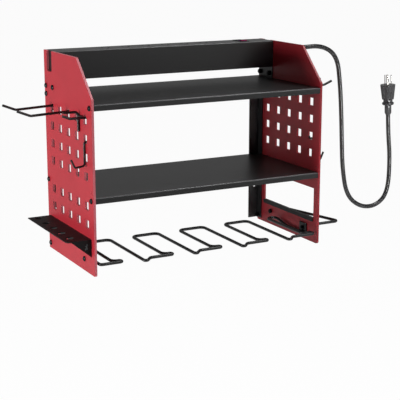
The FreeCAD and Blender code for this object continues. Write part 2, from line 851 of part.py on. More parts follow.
def switch():
    """Make the rocker switch: a housing with a well, the rocker on its pins and the tabs."""
    x, y = SWITCH_X, SWITCH_Y
    flange = box("switch_flange", (x - s.bezel_wide / 2, y - s.bezel_long / 2, TOP),
                 (x + s.bezel_wide / 2, y + s.bezel_long / 2, TOP + s.bezel_rise))
    body = box("switch_body", (x - SWITCH_WIDE / 2, y - SWITCH_LONG / 2, TOP - s.switch_body_deep),
               (x + SWITCH_WIDE / 2, y + SWITCH_LONG / 2, TOP + s.bezel_rise))
    well_wide = ROCKER_WIDE + s.rocker_gap * 2
    well_long = ROCKER_LONG + s.rocker_gap * 5
    well = box("switch_well", (x - well_wide / 2, y - well_long / 2, ROCKER_AXIS - s.rocker_depth),
               (x + well_wide / 2, y + well_long / 2, TOP + s.bezel_rise + 1))
    pin_bore = rod_x("switch_pin_bore", s.rocker_pin / 2 + s.pin_clearance, x - well_wide / 2 - s.pin_reach,
                     x + well_wide / 2 + s.pin_reach, y, ROCKER_AXIS)
    keep("switch_housing", cut("switch_case", fuse("switch_blank", [flange, body]), [well, pin_bore]))

    half = float(ROCKER_LONG) / 2
    rise = float(TOP + s.bezel_rise + s.rocker_rise - ROCKER_AXIS)
    dip = rise - half * math.tan(math.radians(float(s.rocker_tilt)))
    depth = float(s.rocker_keel)
    keel = depth * 0.55
    outline = [(-half, rise), (0, dip), (half, rise), (half * 0.97, 0), (keel, -depth), (-keel, -depth),
               (-half * 0.97, 0)]
    points = [Vector(-float(ROCKER_WIDE) / 2, a, b) for a, b in outline]
    profile = Part.Face(Part.makePolygon(points + points[:1]))
    block = solid("rocker_block", profile.extrude(Vector(float(ROCKER_WIDE), 0, 0)))
    pin = doc.addObject("Part::Cylinder", "rocker_pin_bar")
    bind(pin, Radius=s.rocker_pin / 2, Height=ROCKER_WIDE + s.rocker_gap * 2 + s.pin_reach * 2 - s.pin_end_gap * 2)
    place(pin, (-(ROCKER_WIDE / 2 + s.rocker_gap + s.pin_reach - s.pin_end_gap), 0, 0), Y_AXIS, 90)
    rocker = fuse("rocker_part", [block, pin])
    place(rocker, (x, y, ROCKER_AXIS), X_AXIS, -SIZES["rocker_tilt"])
    keep("switch_rocker", rocker)

    tabs = []
    for i in range(3):
        shift = s.tab_pitch * (i - 1)
        tabs.append(box(f"switch_tab_{i}", (x - s.tab_wide / 2, y + shift - s.bar_thick / 2,
                                            TOP - s.switch_body_deep - s.tab_long),
                        (x + s.tab_wide / 2, y + shift + s.bar_thick / 2, TOP - s.switch_body_deep)))
    keep("switch_tabs", group("switch_tab_set", tabs))


def gland():
    """Make the strain relief on the strip's end and the nut that holds it."""
    half = s.gland_flange / 2
    y = -s.notch_centre
    flange = box("gland_flange_block", (INNER, y - half, GLAND - half),
                 (INNER + s.gland_flange_thick, y + half, GLAND + half))
    boot = doc.addObject("Part::Cone", "gland_boot")
    bind(boot, Radius1=s.gland_round / 2, Radius2=s.cord_bore / 2 + s.gland_wall,
         Height=s.gland_length - s.gland_flange_thick)
    place(boot, (INNER + s.gland_flange_thick, y, GLAND), Y_AXIS, 90)
    stem = rod_x("gland_stem_bar", s.gland_stem / 2, INNER - s.strip_sheet - s.gland_nut_thick - s.screw_tail,
                 INNER, y, GLAND)
    keep("strain_relief", fuse("strain_relief_part", [flange, boot, stem]))
    face = INNER - s.strip_sheet
    blank = hexagon("gland_nut_blank", 1, s.gland_nut_flats, face - s.gland_nut_thick, face, y, GLAND)
    bore = rod_x("gland_nut_bore", s.gland_stem / 2 + s.thread_clearance, face - s.gland_nut_thick - 1, face + 1,
                 y, GLAND)
    keep("gland_nut", cut("gland_nut_part", blank, [bore]))


def cord_route():
    """List the cord's control points in space, from the strain relief to the plug."""
    y = -float(s.notch_centre)
    top = float(TOP)
    start = Vector(float(INNER + s.gland_length), y, float(GLAND))
    lean = math.radians(PLUG_LEAN)
    neck = Vector(PLUG_NECK[0], y, top + PLUG_NECK[1])
    along = Vector(math.sin(lean), 0, math.cos(lean))
    route = [start]
    route += [Vector(x, y, top + z) for x, z in CORD_TURNS]
    route.append(neck - along * float(s.cord_last_run))
    route.append(neck)
    return route


def cord():
    """Make the power cord as straight runs joined by the largest tangent arcs."""
    route = cord_route()
    runs = [(b - a).Length for a, b in zip(route, route[1:])]
    radii = []
    for before, corner, after, first, second in zip(route, route[1:], route[2:], runs, runs[1:]):
        turn = (corner - before).getAngle(after - corner)
        radii.append(0.45 * min(first, second) / math.tan(turn / 2))
    path = rounded([tuple(point) for point in route], radii)
    bore = float(s.cord_bore)
    tube = swept(path, bore)
    print(f"cord: length {path.Length:.1f}, volume {tube.Volume:.0f}, "
          f"section times length {math.pi * bore ** 2 / 4 * path.Length:.0f}")
    print("cord runs:", [round(run, 1) for run in runs])
    print("cord radii:", [round(bend, 1) for bend in radii])
    keep("power_cord", solid("power_cord_tube", tube))


def plug():
    """Make the plug on the cord's end: its moulded body, two blades and a round pin."""
    y = -s.notch_centre
    rings = [
        (s.cord_bore, 0.0),
        (s.plug_neck, s.plug_taper),
        (s.plug_neck, s.plug_neck_length),
        (s.plug_flange, 0.0),
        (s.plug_flange, s.plug_flange_thick),
        (s.plug_waist, 0.0),
        (s.plug_waist, s.plug_waist_length),
        (s.plug_body_low, 0.0),
        (s.plug_body_top, s.plug_body_length),
    ]
    points = [Vector(0, 0, 0)]
    up = 0.0
    for across, rise in rings:
        up += float(rise)
        points.append(Vector(float(across) / 2, 0, up))
    points.append(Vector(0, 0, up))
    face = Part.Face(Part.makePolygon(points + points[:1]))
    body = solid("plug_moulding", face.revolve(Vector(0, 0, 0), Z_AXIS, 360))
    turned = FreeCAD.Rotation(Y_AXIS, PLUG_LEAN).multiply(FreeCAD.Rotation(Z_AXIS, PLUG_TURN))

    def set_down(item):
        item.Placement = FreeCAD.Placement(Vector(PLUG_NECK[0], float(y), float(TOP) + PLUG_NECK[1]), turned)
        return item

    keep("plug_body", set_down(body))
    blades = []
    line = float(s.ground_offset) / 2
    for offset in (-float(s.blade_spread) / 2, float(s.blade_spread) / 2):
        low = Vector(offset - float(s.blade_thick) / 2, line - float(s.blade_wide) / 2, up)
        blades.append(Part.makeBox(float(s.blade_thick), float(s.blade_wide), float(s.blade_out), low))
    keep("plug_blades", set_down(solid("plug_blade_pair", Part.makeCompound(blades))))
    round_end = float(s.ground_pin) / 2
    straight = float(s.ground_pin_out) - round_end
    pin = Part.makeCylinder(round_end, straight, Vector(0, -line, up))
    pin = pin.fuse(Part.makeSphere(round_end, Vector(0, -line, up + straight))).removeSplitter()
    keep("plug_ground_pin", set_down(solid("plug_pin", pin)))


def drill_rack():
    """Make the drill rack: one wire bent to and fro between two plates on the panels."""
    wire = float(s.rack_wire)
    z = float(RACK)
    wall = float(INNER - s.rack_plate_sheet) - wire / 2
    front = -float(s.rack_front)
    rear = -float(s.rack_rear)
    tip = -float(s.rack_tip_front)
    small, large = float(s.rack_tip_bend), float(s.rack_bend)
    pin_bend = float(s.rack_hairpin_radius)
    screw = -float(s.rack_screw_rear)
    lap = float(s.rack_end_lap)
    points = [(-wall, screw - lap), (-wall, front)]
    bends = [pin_bend]
    for i in range(DRILL_SLOTS + 1):
        rod = -float(INNER - s.rack_left_gap) + float(RACK_PITCH) * i
        turn_back = rod + float(s.rack_hairpin)
        if i == DRILL_SLOTS:
            turn_back = rod + float(s.rack_end_hairpin)
            pin_bend = float(s.rack_end_radius)
        back = front + pin_bend * 2
        points += [(turn_back, front), (turn_back, back), (rod, back), (rod, rear)]
        bends += [pin_bend - 0.01, pin_bend - 0.01, large, large]
        if i < DRILL_SLOTS:
            arm = rod + float(s.rack_slot)
            step = small * 1.55
            points += [(arm, rear), (arm, tip), (arm + step, tip), (arm + float(s.rack_tip_run), front)]
            bends += [large, small, small, large * 0.8]
    path = [(x, y, z) for x, y in points]
    under = z - float(s.nut_flats) / math.sqrt(3) - wire / 2 - float(s.rack_nut_gap)
    path += [(wall, rear, z), (wall, rear - float(s.rack_end_fall), under),
             (wall, screw - float(s.rack_end_reach), under)]
    bends += [large, large]
    keep("drill_rack", bent_wire("drill_rack_wire", path, wire, bends))
    plates = []
    for side in (-1, 1):
        hand = "right" if side > 0 else "left"
        centre, half = -s.rack_screw_rear, s.rack_plate_long / 2
        plate = side_box(f"rack_plate_{hand}", side,
                         (INNER - s.rack_plate_sheet, centre - half, RACK - s.rack_plate_tall / 2),
                         (INNER, centre + half, RACK + s.rack_plate_tall / 2))
        bore = side_rod(f"rack_plate_bore_{hand}", side, SCREW_BORE / 2, INNER - s.rack_plate_sheet - 1, INNER + 1,
                        centre, RACK)
        plates.append(cut(f"rack_plate_part_{hand}", plate, [bore]))
    keep("drill_rack_plates", group("rack_plate_pair", plates))


def driver_rack():
    """Make the screwdriver rack: a bored shelf on the left panel with a gusset at each end."""
    top = DRIVER_TOP
    low = top - s.driver_sheet
    edge = -OUTER - s.driver_width
    plate = box("driver_plate", (edge, -s.driver_front, low), (-OUTER, -s.driver_rear, top))
    flange = box("driver_flange", (-OUTER - s.driver_sheet, -s.driver_front, top - s.driver_back_flange),
                 (-OUTER, -s.driver_rear, top))
    pieces = [plate, flange]
    reach = s.driver_width - s.driver_gusset_inset
    for i, y in enumerate((-s.driver_front, -s.driver_rear - s.driver_sheet)):
        points = [Vector(0, 0, 0), Vector(-float(reach), 0, 0), Vector(0, 0, -float(s.driver_gusset))]
        face = Part.Face(Part.makePolygon(points + points[:1]))
        item = solid(f"driver_gusset_{i}", face.extrude(Vector(0, float(s.driver_sheet), 0)))
        pieces.append(place(item, (-OUTER, y, top - s.driver_sheet)))
    cutters = []
    for i in range(DRIVER_BORES):
        cutters.append(rod_z(f"driver_bore_{i}", s.driver_bore / 2, low - 1, top + 1, -OUTER - s.driver_reach,
                             -s.driver_first + s.driver_pitch * i))
    slot_low = top - s.driver_slot_drop - s.driver_slot_long
    slot_x = -OUTER - s.driver_slot_reach
    cutters.append(box("driver_slot", (slot_x - s.driver_slot_wide / 2, -s.driver_front - 1, slot_low),
                       (slot_x + s.driver_slot_wide / 2, -s.driver_front + s.driver_sheet + 1,
                        slot_low + s.driver_slot_long)))
    for i, up in enumerate((slot_low, slot_low + s.driver_slot_long)):
        cutters.append(rod_y(f"driver_slot_end_{i}", s.driver_slot_end / 2, -s.driver_front - 1,
                             -s.driver_front + s.driver_sheet + 1, slot_x, up))
    for i, across in enumerate(DRIVER_SCREWS):
        cutters.append(side_rod(f"driver_screw_bore_{i}", -1, SCREW_BORE / 2, OUTER - 1, OUTER + s.driver_sheet + 1,
                                across, DRIVER_SCREW))
    bend = s.driver_corner_radius
    corner = box("driver_corner_block", (edge - 1, -s.driver_front - 1, low - 1),
                 (edge + bend, -s.driver_front + bend, top + 1))
    arc = rod_z("driver_corner_arc", bend, low - 2, top + 2, edge + bend, -s.driver_front + bend)
    cutters.append(cut("driver_corner", corner, [arc]))
    keep("screwdriver_rack", cut("driver_rack_part", fuse("driver_blank", pieces), cutters))
    screws = []
    nuts = []
    for i, across in enumerate(DRIVER_SCREWS):
        screws.append(button_screw(f"driver_screw_{i}", -1, across, DRIVER_SCREW, 0.0, s.driver_sheet))
        nuts.append(hex_nut(f"driver_nut_{i}", -1, across, DRIVER_SCREW, 0.0))
    keep("driver_rack_screws", group("driver_screw_set", screws))
    keep("driver_rack_nuts", group("driver_nut_set", nuts))


def hook_wire(name, side, y, points, bends, bore):
    """Make one bent hook wire of a diameter in a plane across the panel."""
    path = [(side * x, y, z) for x, z in points]
    return bent_wire(name, path, bore, bends)


def prong_height(row):
    """Give the height of a wire that passes just under the top edge of a square hole."""
    return float(HOLE_TOP - s.hole_pitch_down * row + s.hole_side / 2 - s.hook_wire / 2 - s.hook_clearance)


def column_place(column):
    """Give the Y of a column of square holes, counted from the front."""
    return float(HOLE_FRONT + s.hole_pitch_across * column)


def prong_points(row, reach, tip, lift):
    """List the turns of a straight hook: tail behind the panel, prong and raised tip."""
    tight = float(s.hook_tight_bend)
    inside = float(INNER - s.hook_wire / 2 - s.hook_clearance / 4)
    height = prong_height(row)
    slope = math.radians(float(s.hook_tip_slope))
    end = float(OUTER) + reach
    knee = end - tip * math.cos(slope)
    points = [(inside, height + float(s.hook_tail)), (inside, height), (knee, height + lift),
              (end, height + lift + tip * math.sin(slope))]
    return points, [tight, float(s.hook_knee)]


def long_hook(node, side, column):
    """Make a long straight hook in the top row of square holes."""
    reach = s.right_hook_reach if side > 0 else s.left_hook_reach
    tip = s.right_hook_tip if side > 0 else s.left_hook_tip
    lift = s.right_hook_lift if side > 0 else s.left_hook_lift
    points, bends = prong_points(0, float(reach), float(tip), float(lift))
    keep(node, hook_wire(f"{node}_wire", side, column_place(column), points, bends, float(s.hook_wire)))


def short_hook(node, side):
    """Make the short double hook: a prong in its hole and a braced second prong beside it."""
    y = column_place(0)
    points, bends = prong_points(0, float(s.short_hook_reach), float(s.short_hook_tip), 0.0)
    wire = float(s.hook_wire)
    prong = hook_wire(f"{node}_prong", side, y, points, bends, wire)
    height = prong_height(0)
    face = float(OUTER) + wire / 2
    upper = height + float(s.brace_rise)
    brace_points = [(face, height - float(s.brace_fall)), (face, upper), (float(OUTER) + float(s.brace_reach), upper)]
    brace = hook_wire(f"{node}_brace", side, y + float(s.brace_offset), brace_points, [float(s.hook_bend)], wire)
    bar = rod_y(f"{node}_bar", s.hook_wire / 2, y, y + float(s.brace_offset), side * face, height)
    keep(node, fuse(f"{node}_part", [prong, brace, bar]))


def drop_hook(node, side, row):
    """Make a small hook that hangs from the lower edge of a square hole."""
    wire = float(s.drop_wire)
    clear = float(s.hook_clearance)
    centre = float(HOLE_TOP - s.hole_pitch_down * row)
    low_edge = centre - float(s.hole_side) / 2 + wire / 2 + clear
    inside = float(INNER) - wire / 2 - clear / 4
    face = float(OUTER) + wire / 2 + clear / 4
    bottom = centre - float(s.drop_hook_fall)
    points = [(inside, low_edge + float(s.drop_hook_tail)), (inside, low_edge), (face, low_edge), (face, bottom),
              (float(OUTER) + float(s.drop_hook_reach * s.drop_hook_knee), bottom - wire * 0.6),
              (float(OUTER) + float(s.drop_hook_reach), bottom + float(s.drop_hook_rise))]
    tight = float(s.hook_tight_bend)
    keep(node, hook_wire(f"{node}_wire", side, column_place(0), points, [tight, tight, wire * 1.3, wire], wire))


def hammer_rail():
    """Make the hammer rail: a bent wire outside the right panel on two plates."""
    wire = float(s.rail_wire)
    z = float(RAIL)
    face = float(OUTER + s.rail_plate_sheet)
    front, rear = -float(s.rail_front), -float(s.rail_rear) + float(s.rail_plate_long) / 4
    points = [(face, front, z), (float(OUTER + s.rail_reach), front, z),
              (float(OUTER + s.rail_rear_reach), rear, z), (face, rear, z)]
    bends = [float(s.rail_corner), float(s.rail_corner)]
    keep("hammer_rail", bent_wire("hammer_rail_wire", points, wire, bends))
    low, high = RAIL_SCREW - s.rail_plate_tall / 2, RAIL_SCREW + s.rail_plate_tall / 2
    front_plate = box("rail_plate_front", (OUTER, -s.rail_front - s.rail_wire, RACK - s.rail_plate_foot),
                      (OUTER + s.rail_plate_sheet, -s.rack_screw_rear + s.rail_plate_foot, high))
    front_bore = rod_x("rail_plate_front_bore", SCREW_BORE / 2, OUTER - 1, OUTER + s.rail_plate_sheet + 1,
                       -s.rack_screw_rear, RACK)
    rear_plate = box("rail_plate_rear", (OUTER, -s.rail_rear - s.rail_plate_long / 2, low),
                     (OUTER + s.rail_plate_sheet, -s.rail_rear + s.rail_plate_long / 2, high))
    rear_bore = rod_x("rail_plate_rear_bore", SCREW_BORE / 2, OUTER - 1, OUTER + s.rail_plate_sheet + 1,
                      -s.rail_rear, RAIL_SCREW)
    plates = [cut("rail_plate_front_part", front_plate, [front_bore]),
              cut("rail_plate_rear_part", rear_plate, [rear_bore])]
    keep("hammer_rail_plates", group("rail_plate_pair", plates))
    keep("rail_screw", button_screw("rail_rear_screw", 1, -s.rail_rear, RAIL_SCREW, 0.0, s.rail_plate_sheet))
    keep("rail_nut", hex_nut("rail_rear_nut", 1, -s.rail_rear, RAIL_SCREW, 0.0))


def window_sill():
    """Make the rubber edging on the window's lower edge, where hammer heads rest."""
    low_edge = WINDOW_LOW
    front = FRONT + s.window_front_inset
    rear = -s.window_rear
    outside = box("sill_blank", (INNER - s.sill_wall, front, low_edge - s.sill_lap),
                  (OUTER + s.sill_wall, rear, low_edge + s.sill_wall))
    inside = box("sill_groove", (INNER, front - 1, low_edge - s.sill_lap - 1), (OUTER, rear + 1, low_edge))
    keep("window_sill", cut("sill_part", outside, [inside]))


side_panel("side_panel_left", -1)
side_panel("side_panel_right", 1)
wall_angle("wall_angle_left", -1)
wall_angle("wall_angle_right", 1)
shelf("top_shelf", TOP_SHELF)
shelf("lower_shelf", MID_SHELF)
frame_fasteners()
strip()
switch()
gland()
cord()
plug()
drill_rack()
driver_rack()
long_hook("long_hook_left_rear", -1, 4)
long_hook("long_hook_left_front", -1, 2)
short_hook("short_hook_left", -1)
drop_hook("drop_hook_left", -1, 1)
long_hook("long_hook_right_rear", 1, 3)
long_hook("long_hook_right_front", 1, 2)
drop_hook("drop_hook_right", 1, 2)
hammer_rail()
window_sill()

doc.recompute()
for item in doc.Objects:
    if any(state in ("Invalid", "Error") for state in item.State):
        raise RuntimeError(f"{item.Name} ({item.Label}) is in state {item.State}")
os.makedirs("parts", exist_ok=True)
for node, item in parts.items():
    shape = item.Shape
    if shape.isNull() or not shape.isValid():
        raise RuntimeError(f"{node} has no valid shape")
    if not shape.Solids:
        raise RuntimeError(f"{node} has no solid")
    shape.exportStep(f"parts/{node}.step")
    print(f"{node}: {len(shape.Solids)} solid(s), {shape.Volume:.0f} mm3")
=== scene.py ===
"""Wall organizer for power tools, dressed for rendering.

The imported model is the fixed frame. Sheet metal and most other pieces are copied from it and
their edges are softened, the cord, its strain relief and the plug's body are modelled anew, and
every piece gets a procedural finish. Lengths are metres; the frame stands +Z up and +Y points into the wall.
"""
import json
import logging
import math
from dataclasses import dataclass
from enum import Enum
from typing import Callable, Optional, Sequence, Union

import bpy
from mathutils import Euler, Matrix, Vector

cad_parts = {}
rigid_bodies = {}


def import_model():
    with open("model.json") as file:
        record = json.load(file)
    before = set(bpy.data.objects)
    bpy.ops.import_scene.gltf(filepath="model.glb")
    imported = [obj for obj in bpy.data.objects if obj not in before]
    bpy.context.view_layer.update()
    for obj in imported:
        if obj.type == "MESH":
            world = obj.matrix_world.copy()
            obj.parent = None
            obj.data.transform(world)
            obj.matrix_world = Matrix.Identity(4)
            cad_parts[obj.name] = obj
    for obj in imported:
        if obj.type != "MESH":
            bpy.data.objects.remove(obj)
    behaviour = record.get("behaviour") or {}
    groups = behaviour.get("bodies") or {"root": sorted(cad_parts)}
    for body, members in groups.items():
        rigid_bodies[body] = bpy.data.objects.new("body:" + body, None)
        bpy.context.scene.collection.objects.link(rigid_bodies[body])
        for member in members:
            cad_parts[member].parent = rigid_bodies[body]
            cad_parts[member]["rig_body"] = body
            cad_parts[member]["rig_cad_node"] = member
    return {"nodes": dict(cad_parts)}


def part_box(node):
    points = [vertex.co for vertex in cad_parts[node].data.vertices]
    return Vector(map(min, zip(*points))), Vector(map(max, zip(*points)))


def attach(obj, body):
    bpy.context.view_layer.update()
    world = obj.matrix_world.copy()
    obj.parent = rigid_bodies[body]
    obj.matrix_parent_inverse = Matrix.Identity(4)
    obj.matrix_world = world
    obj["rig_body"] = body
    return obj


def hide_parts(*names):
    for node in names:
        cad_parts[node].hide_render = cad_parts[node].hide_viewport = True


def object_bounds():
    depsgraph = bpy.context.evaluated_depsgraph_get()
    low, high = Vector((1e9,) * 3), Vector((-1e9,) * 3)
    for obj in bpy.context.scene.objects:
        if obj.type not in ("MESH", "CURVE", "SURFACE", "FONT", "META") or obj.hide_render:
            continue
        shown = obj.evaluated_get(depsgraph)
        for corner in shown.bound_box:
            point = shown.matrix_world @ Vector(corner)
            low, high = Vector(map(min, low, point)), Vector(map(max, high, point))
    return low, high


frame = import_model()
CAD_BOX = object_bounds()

logging.basicConfig(level=logging.INFO, format="%(name)s: %(message)s")
log = logging.getLogger("organizer")

MM = 0.001
ROOT = "organizer"
SIDES = 48
TOUCH = 0.01 * MM
SAME_POINT = 0.002 * MM
SAME_PLANE = math.radians(0.5)


class Side(Enum):
    """A side of the organizer as the viewer sees it."""

    LEFT = -1
    RIGHT = 1


def linear(colour: str) -> tuple[float, float, float, float]:
    """Turn an sRGB hex colour into linear light.

    Args:
        colour: six hex digits, with or without a leading hash.

    Returns:
        Linear red, green and blue with an alpha of one.
    """
    digits = colour.lstrip("#")
    channels = [int(digits[i:i + 2], 16) / 255 for i in (0, 2, 4)]
    light = [c / 12.92 if c <= 0.04045 else ((c + 0.055) / 1.055) ** 2.4 for c in channels]
    return light[0], light[1], light[2], 1.0


def add_node(tree: bpy.types.NodeTree, kind: str, settings: Optional[dict] = None,
             links: Optional[dict] = None) -> bpy.types.Node:
    """Add a node with its settings and the links into it.

    Args:
        tree: the node tree it goes into.
        kind: the node's type name.
        settings: attribute names, or input names and numbers, with their values.
        links: input names or numbers with the output socket that feeds each.

    Returns:
        The new node.
    """
    item = tree.nodes.new(kind)
    for name, value in (settings or {}).items():
        if isinstance(name, str) and hasattr(item, name):
            setattr(item, name, value)
        else:
            item.inputs[name].default_value = value
    for name, socket in (links or {}).items():
        tree.links.new(socket, item.inputs[name])
    return item


def start_material(name: str) -> tuple[bpy.types.Material, bpy.types.NodeTree, bpy.types.Node,
                                       bpy.types.NodeSocket]:
    """Make a material with an empty shader.

    Args:
        name: the finish's common name.

    Returns:
        The material, its tree, its shader node and the object coordinates.
    """
    material = bpy.data.materials.new(name)
    material.use_nodes = True
    tree = material.node_tree
    shader = tree.nodes["Principled BSDF"]
    place = add_node(tree, "ShaderNodeTexCoord").outputs["Object"]
    return material, tree, shader, place


@dataclass(frozen=True)
class PowderCoat:
    """Powder coat on sheet steel: baked on, so it flows into a fine orange peel.

    The eye gets a broad soft gloss that breaks up a little along each flat sheet.
    """

    name: str
    colour: str
    roughness: float
    peel_mm: float = 1.6
    peel_depth_mm: float = 0.02
    peel_strength: float = 0.5
    cloud_mm: float = 90.0
    drift: float = 0.06
    gloss_band: float = 0.05
    ior: float = 1.5
    shine: float = 0.5

    def material(self) -> bpy.types.Material:
        """Build the finish's node material."""
        material, tree, shader, place = start_material(self.name)
        shader.inputs["IOR"].default_value = self.ior
        shader.inputs["Specular IOR Level"].default_value = self.shine
        cloud = add_node(tree, "ShaderNodeTexNoise", {"Scale": 1 / (self.cloud_mm * MM), "Detail": 3.0},
                         {"Vector": place})
        shade = add_node(tree, "ShaderNodeMapRange",
                         {"From Min": 0.3, "From Max": 0.7, "To Min": 1 - self.drift, "To Max": 1 + self.drift},
                         {"Value": cloud.outputs["Fac"]})
        tint = add_node(tree, "ShaderNodeVectorMath", {"operation": "SCALE", 0: linear(self.colour)[:3]},
                        {"Scale": shade.outputs[0]})
        peel = add_node(tree, "ShaderNodeTexNoise", {"Scale": 1 / (self.peel_mm * MM), "Detail": 2.0},
                        {"Vector": place})
        gloss = add_node(tree, "ShaderNodeMapRange",
                         {"To Min": self.roughness - self.gloss_band, "To Max": self.roughness + self.gloss_band},
                         {"Value": peel.outputs["Fac"]})
        bump = add_node(tree, "ShaderNodeBump",
                        {"Strength": self.peel_strength, "Distance": self.peel_depth_mm * MM},
                        {"Height": peel.outputs["Fac"]})
        tree.links.new(tint.outputs[0], shader.inputs["Base Color"])
        tree.links.new(gloss.outputs[0], shader.inputs["Roughness"])
        tree.links.new(bump.outputs[0], shader.inputs["Normal"])
        return material


@dataclass(frozen=True)
class MouldedPlastic:
    """Moulded plastic or rubber: its spark-eroded mould leaves a fine grain.

    The eye gets an even surface whose gloss follows the form, and a sheen at grazing angles where one is asked for.
    """

    name: str
    colour: str
    roughness: float
    grain_mm: float = 0.6
    grain_depth_mm: float = 0.02
    grain_strength: float = 0.6
    wipe_mm: float = 12.0
    gloss_band: float = 0.08
    ior: float = 1.53
    shine: float = 0.5
    sheen: float = 0.0
    sheen_tint: str = "#FFFFFF"

    def material(self) -> bpy.types.Material:
        """Build the finish's node material."""
        material, tree, shader, place = start_material(self.name)
        shader.inputs["Base Color"].default_value = linear(self.colour)
        shader.inputs["IOR"].default_value = self.ior
        shader.inputs["Specular IOR Level"].default_value = self.shine
        shader.inputs["Sheen Weight"].default_value = self.sheen
        shader.inputs["Sheen Tint"].default_value = linear(self.sheen_tint)
        grain = add_node(tree, "ShaderNodeTexVoronoi", {"Scale": 1 / (self.grain_mm * MM)}, {"Vector": place})
        wipe = add_node(tree, "ShaderNodeTexNoise", {"Scale": 1 / (self.wipe_mm * MM), "Detail": 2.0},
                        {"Vector": place})
        gloss = add_node(tree, "ShaderNodeMapRange",
                         {"To Min": self.roughness - self.gloss_band, "To Max": self.roughness + self.gloss_band},
                         {"Value": wipe.outputs["Fac"]})
        bump = add_node(tree, "ShaderNodeBump",
                        {"Strength": self.grain_strength, "Distance": self.grain_depth_mm * MM},
                        {"Height": grain.outputs["Distance"]})
        tree.links.new(gloss.outputs[0], shader.inputs["Roughness"])
        tree.links.new(bump.outputs[0], shader.inputs["Normal"])
        return material


@dataclass(frozen=True)
class PlatedMetal:
    """Plated steel or brass: a thin bright coat over a drawn or stamped surface.

    The eye gets a metal gloss with short scratches along one way.
    """

    name: str
    colour: str
    roughness: float
    line_mm: float = 0.3
    line_depth_mm: float = 0.01
    line_strength: float = 0.3
    line_stretch: float = 0.06
    gloss_band: tuple[float, float] = (-0.07, 0.1)

    def material(self) -> bpy.types.Material:
        """Build the finish's node material."""
        material, tree, shader, place = start_material(self.name)
        shader.inputs["Base Color"].default_value = linear(self.colour)
        shader.inputs["Metallic"].default_value = 1.0
        stretch = add_node(tree, "ShaderNodeMapping", {"Scale": (1.0, 1.0, self.line_stretch)}, {"Vector": place})
        lines = add_node(tree, "ShaderNodeTexNoise", {"Scale": 1 / (self.line_mm * MM), "Detail": 2.0},
                         {"Vector": stretch.outputs[0]})
        least, most = self.gloss_band
        gloss = add_node(tree, "ShaderNodeMapRange",
                         {"To Min": self.roughness + least, "To Max": self.roughness + most},
                         {"Value": lines.outputs["Fac"]})
        bump = add_node(tree, "ShaderNodeBump",
                        {"Strength": self.line_strength, "Distance": self.line_depth_mm * MM},
                        {"Height": lines.outputs["Fac"]})
        tree.links.new(gloss.outputs[0], shader.inputs["Roughness"])
        tree.links.new(bump.outputs[0], shader.inputs["Normal"])
        return material


Finish = Union[PowderCoat, MouldedPlastic, PlatedMetal]

RED_COAT = PowderCoat("red powder coat", "#B12632", 0.42)
# Pale pink painted on the left panel's cut edges as a highlight; the right panel's edges keep the plain red coat.
PAINTED_HIGHLIGHT_RED = PowderCoat("red powder coat, drawn thin over a cut edge", "#FF8490", 0.36)
BLACK_COAT = PowderCoat("black powder coat", "#232324", 0.40)
DULL_BLACK_COAT = PowderCoat("black powder coat, dull", "#232324", 0.55, shine=0.15)
# Light grey painted along the shelves' front bends and the strip's long bends as a highlight.
PAINTED_HIGHLIGHT_BLACK = PowderCoat("black coat, rubbed along a bend", "#5A5A5C", 0.26, peel_depth_mm=0.006)
STRIP_PAINT = PowderCoat("satin black paint", "#181718", 0.34, peel_mm=1.1, peel_depth_mm=0.012)
WIRE_COAT = PowderCoat("black powder coat on wire", "#1F1F20", 0.36, peel_mm=1.2)
BLACK_ABS = MouldedPlastic("black ABS", "#1E1E1F", 0.48)
RED_ACRYLIC = MouldedPlastic("red acrylic", "#A32436", 0.16, grain_depth_mm=0.002, shine=0.15, sheen=1.0,
                             sheen_tint="#6A00FF")
GLOSSY_PVC = MouldedPlastic("glossy black PVC", "#505052", 0.18, grain_mm=1.2, grain_depth_mm=0.006)
BLACK_PVC = MouldedPlastic("black flexible PVC", "#3C3C3D", 0.22, grain_mm=0.8, grain_depth_mm=0.003)
EDGE_RUBBER = MouldedPlastic("black edging rubber", "#161617", 0.62)
BLACK_ZINC = PlatedMetal("black zinc on steel", "#2A2A2C", 0.38)
NICKEL_BRASS = PlatedMetal("nickel on brass", "#C9C7C2", 0.26)
STAMPED_BRASS = PlatedMetal("stamped brass", "#C9A45A", 0.32)


class Paintbox:
    """Keeps one material per finish, built when it is first asked for."""

    def __init__(self) -> None:
        """Start with no materials."""
        self.made: dict[str, bpy.types.Material] = {}

    def dress(self, obj: bpy.types.Object, *finishes: Finish) -> None:
        """Give an object its finishes: the first all over, the next where its faces ask for it.

        Args:
            obj: a CAD node's copy or a new piece.
            finishes: the finishes in the order of its material slots.
        """
        for place, finish in enumerate(finishes):
            if finish.name not in self.made:
                self.made[finish.name] = finish.material()
            if place < len(obj.data.materials):
                obj.data.materials[place] = self.made[finish.name]
            else:
                obj.data.materials.append(self.made[finish.name])


paints = Paintbox()


def pick_only(obj: bpy.types.Object) -> None:
    """Deselect everything, then select one object and make it active."""
    if bpy.context.mode != "OBJECT":
        bpy.ops.object.mode_set(mode="OBJECT")
    bpy.ops.object.select_all(action="DESELECT")
    obj.select_set(True)
    bpy.context.view_layer.objects.active = obj


def apply_modifier(obj: bpy.types.Object, kind: str, **settings: object) -> None:
    """Add a modifier with its settings and apply it.

    Args:
        obj: the object it works on.
        kind: the modifier's type.
        settings: its attributes.
    """
    pick_only(obj)
    modifier = obj.modifiers.new(kind.lower(), kind)
    for name, value in settings.items():
        setattr(modifier, name, value)
    bpy.ops.object.modifier_apply(modifier=modifier.name)


def break_edges(obj: bpy.types.Object, width: float, segments: int, degrees: float) -> None:
    """Bevel every edge that turns by more than an angle.

    Args:
        obj: the object.
        width: how far each edge is broken, in metres.
        segments: flats across each broken edge.
        degrees: the least turn that is broken.
    """
    apply_modifier(obj, "BEVEL", width=width, segments=segments, limit_method="ANGLE",
                   angle_limit=math.radians(degrees), use_clamp_overlap=True)


def place_in_mesh(obj: bpy.types.Object) -> None:
    """Move an object's place, turn and scale into its mesh."""
    pick_only(obj)
    bpy.ops.object.transform_apply(location=True, rotation=True, scale=True)


